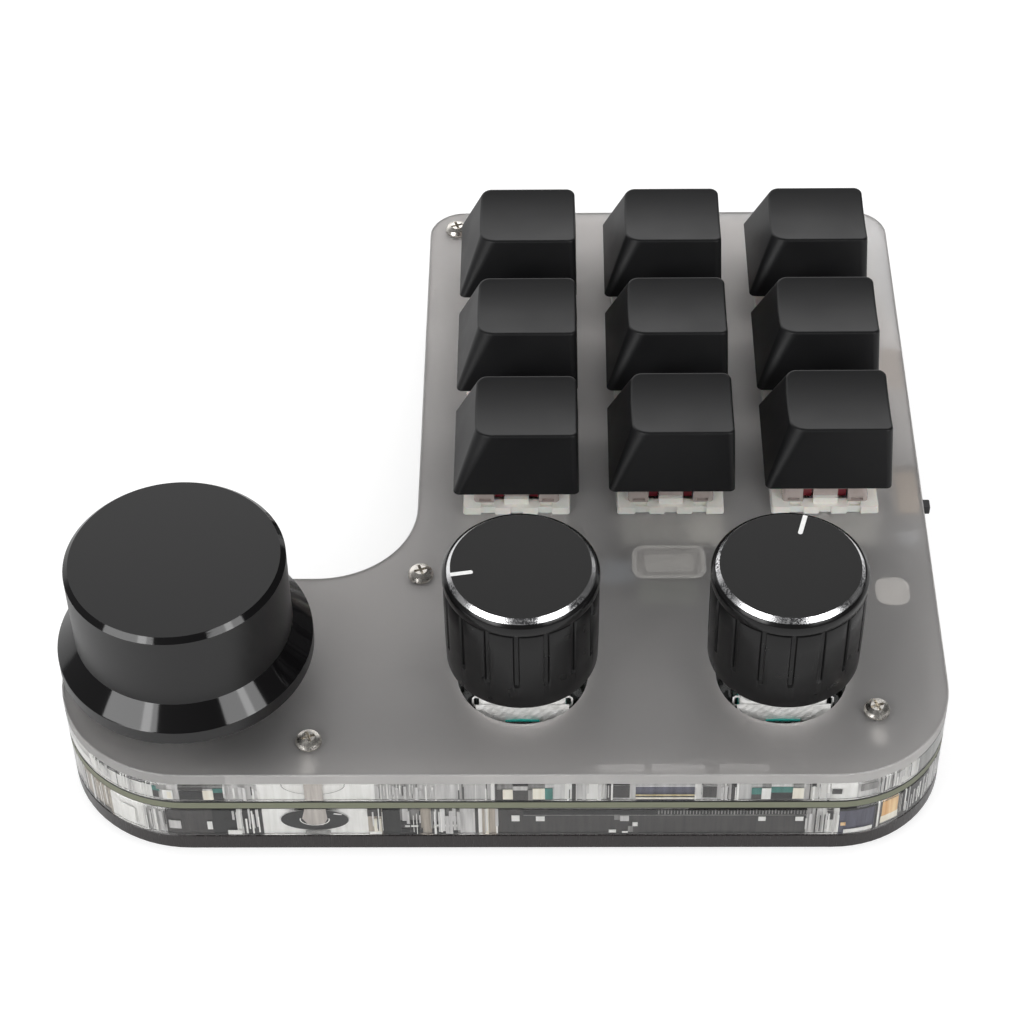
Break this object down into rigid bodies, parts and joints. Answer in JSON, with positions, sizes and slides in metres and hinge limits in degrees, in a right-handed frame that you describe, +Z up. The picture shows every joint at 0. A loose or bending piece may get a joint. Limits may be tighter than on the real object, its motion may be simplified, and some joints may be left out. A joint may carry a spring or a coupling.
{
  "type": "macro keypad",
  "caption": "L-shaped desk keypad of layered acrylic, with a grid of sloped keys on switches, one large flared knob and two small grooved knobs that turn and press.",
  "frame": {"origin": "middle of the overall footprint of the acrylic stack, on the plane that the feet rest on", "axes": "+Z up; +Y away from the user, from the knobs to the back row of keys; +X to the user's right, towards the ports"},
  "size_m": [0.1232, 0.1172, 0.0413],
  "materials": {
    "black_acrylic": "polished cast sheet",
    "clear_acrylic": "clear cast sheet, laser-cut edge",
    "circuit_board": "dark solder mask on glass fibre board",
    "frosted_acrylic": "frosted on both faces",
    "nickel": "nickel plated steel",
    "feet": "moulded rubber",
    "ivory_plastic": "moulded",
    "smoky_plastic": "translucent moulding",
    "socket_plastic": "moulded",
    "teal_plastic": "moulded",
    "bright_steel": "plated steel",
    "usb_steel": "drawn steel shell",
    "usb_insert": "moulded",
    "switch_steel": "stamped",
    "chip": "moulded resin",
    "ceramic": "fired ceramic, tinned ends",
    "led": "white moulded package",
    "gold": "gold plated",
    "keycap": "fine texture",
    "stem_red": "moulded",
    "spring_steel": "wound wire",
    "shaft": "turned",
    "black_aluminium": "black anodised, satin with cut edges",
    "grip": "satin moulded",
    "cap_aluminium": "black anodised with a bright cut rim",
    "black_plastic": "moulded"
  },
  "bodies": {
    "board": {"base_plate": "black_acrylic", "lower_spacer": "clear_acrylic", "circuit_board": "circuit_board", "upper_spacer": "clear_acrylic", "top_plate": "frosted_acrylic", "standoffs": "nickel", "top_screws": "nickel", "bottom_screws": "nickel", "feet": "feet", "switch_bottom_housings": "ivory_plastic", "switch_top_housings": "smoky_plastic", "hot_swap_sockets": "socket_plastic", "encoder_bases": "teal_plastic", "encoder_cases": "bright_steel", "usb_shell": "usb_steel", "usb_insert": "usb_insert", "power_switch_body": "switch_steel", "chips": "chip", "small_parts": "ceramic", "underglow_leds": "led", "pin_strip": "gold"},
    "key_1_1": {"keycap_1_1": "keycap", "stem_1_1": "stem_red", "spring_1_1": "spring_steel"},
    "key_1_2": {"keycap_1_2": "keycap", "stem_1_2": "stem_red", "spring_1_2": "spring_steel"},
    "key_1_3": {"keycap_1_3": "keycap", "stem_1_3": "stem_red", "spring_1_3": "spring_steel"},
    "key_2_1": {"keycap_2_1": "keycap", "stem_2_1": "stem_red", "spring_2_1": "spring_steel"},
    "key_2_2": {"keycap_2_2": "keycap", "stem_2_2": "stem_red", "spring_2_2": "spring_steel"},
    "key_2_3": {"keycap_2_3": "keycap", "stem_2_3": "stem_red", "spring_2_3": "spring_steel"},
    "key_3_1": {"keycap_3_1": "keycap", "stem_3_1": "stem_red", "spring_3_1": "spring_steel"},
    "key_3_2": {"keycap_3_2": "keycap", "stem_3_2": "stem_red", "spring_3_2": "spring_steel"},
    "key_3_3": {"keycap_3_3": "keycap", "stem_3_3": "stem_red", "spring_3_3": "spring_steel"},
    "push_large": {"plunger_large": "spring_steel"},
    "turn_large": {"shaft_large": "shaft", "knob_large": "black_aluminium"},
    "push_middle": {"plunger_middle": "spring_steel"},
    "turn_middle": {"shaft_middle": "shaft", "grip_middle": "grip", "cap_middle": "cap_aluminium"},
    "push_right": {"plunger_right": "spring_steel"},
    "turn_right": {"shaft_right": "shaft", "grip_right": "grip", "cap_right": "cap_aluminium"},
    "power_slider": {"power_switch_slider": "black_plastic"}
  },
  "joints": [
    {"name": "key_press_1_1", "type": "slide", "parent": "board", "child": "key_1_1", "axis": [0, 0, -1], "range_m": [0, 0.004], "stiffness_N_per_m": 75, "springref_m": -0.006, "deforming": ["spring_1_1"]},
    {"name": "key_press_1_2", "type": "slide", "parent": "board", "child": "key_1_2", "axis": [0, 0, -1], "range_m": [0, 0.004], "stiffness_N_per_m": 75, "springref_m": -0.006, "deforming": ["spring_1_2"]},
    {"name": "key_press_1_3", "type": "slide", "parent": "board", "child": "key_1_3", "axis": [0, 0, -1], "range_m": [0, 0.004], "stiffness_N_per_m": 75, "springref_m": -0.006, "deforming": ["spring_1_3"]},
    {"name": "key_press_2_1", "type": "slide", "parent": "board", "child": "key_2_1", "axis": [0, 0, -1], "range_m": [0, 0.004], "stiffness_N_per_m": 75, "springref_m": -0.006, "deforming": ["spring_2_1"]},
    {"name": "key_press_2_2", "type": "slide", "parent": "board", "child": "key_2_2", "axis": [0, 0, -1], "range_m": [0, 0.004], "stiffness_N_per_m": 75, "springref_m": -0.006, "deforming": ["spring_2_2"]},
    {"name": "key_press_2_3", "type": "slide", "parent": "board", "child": "key_2_3", "axis": [0, 0, -1], "range_m": [0, 0.004], "stiffness_N_per_m": 75, "springref_m": -0.006, "deforming": ["spring_2_3"]},
    {"name": "key_press_3_1", "type": "slide", "parent": "board", "child": "key_3_1", "axis": [0, 0, -1], "range_m": [0, 0.004], "stiffness_N_per_m": 75, "springref_m": -0.006, "deforming": ["spring_3_1"]},
    {"name": "key_press_3_2", "type": "slide", "parent": "board", "child": "key_3_2", "axis": [0, 0, -1], "range_m": [0, 0.004], "stiffness_N_per_m": 75, "springref_m": -0.006, "deforming": ["spring_3_2"]},
    {"name": "key_press_3_3", "type": "slide", "parent": "board", "child": "key_3_3", "axis": [0, 0, -1], "range_m": [0, 0.004], "stiffness_N_per_m": 75, "springref_m": -0.006, "deforming": ["spring_3_3"]},
    {"name": "knob_push_large", "type": "slide", "parent": "board", "child": "push_large", "axis": [0, 0, -1], "range_m": [0, 0.0005], "stiffness_N_per_m": 4000, "springref_m": -0.0005},
    {"name": "knob_turn_large", "type": "hinge", "parent": "push_large", "child": "turn_large", "pos_m": [-0.043, -0.0408, 0.03], "axis": [0, 0, 1], "continuous": true},
    {"name": "knob_push_middle", "type": "slide", "parent": "board", "child": "push_middle", "axis": [0, 0, -1], "range_m": [0, 0.0005], "stiffness_N_per_m": 4000, "springref_m": -0.0005},
    {"name": "knob_turn_middle", "type": "hinge", "parent": "push_middle", "child": "turn_middle", "pos_m": [0.0026, -0.0408, 0.03], "axis": [0, 0, 1], "continuous": true},
    {"name": "knob_push_right", "type": "slide", "parent": "board", "child": "push_right", "axis": [0, 0, -1], "range_m": [0, 0.0005], "stiffness_N_per_m": 4000, "springref_m": -0.0005},
    {"name": "knob_turn_right", "type": "hinge", "parent": "push_right", "child": "turn_right", "pos_m": [0.0381, -0.0408, 0.03], "axis": [0, 0, 1], "continuous": true},
    {"name": "power_slide", "type": "slide", "parent": "board", "child": "power_slider", "axis": [0, 1, 0], "range_m": [0, 0.003]}
  ]
}
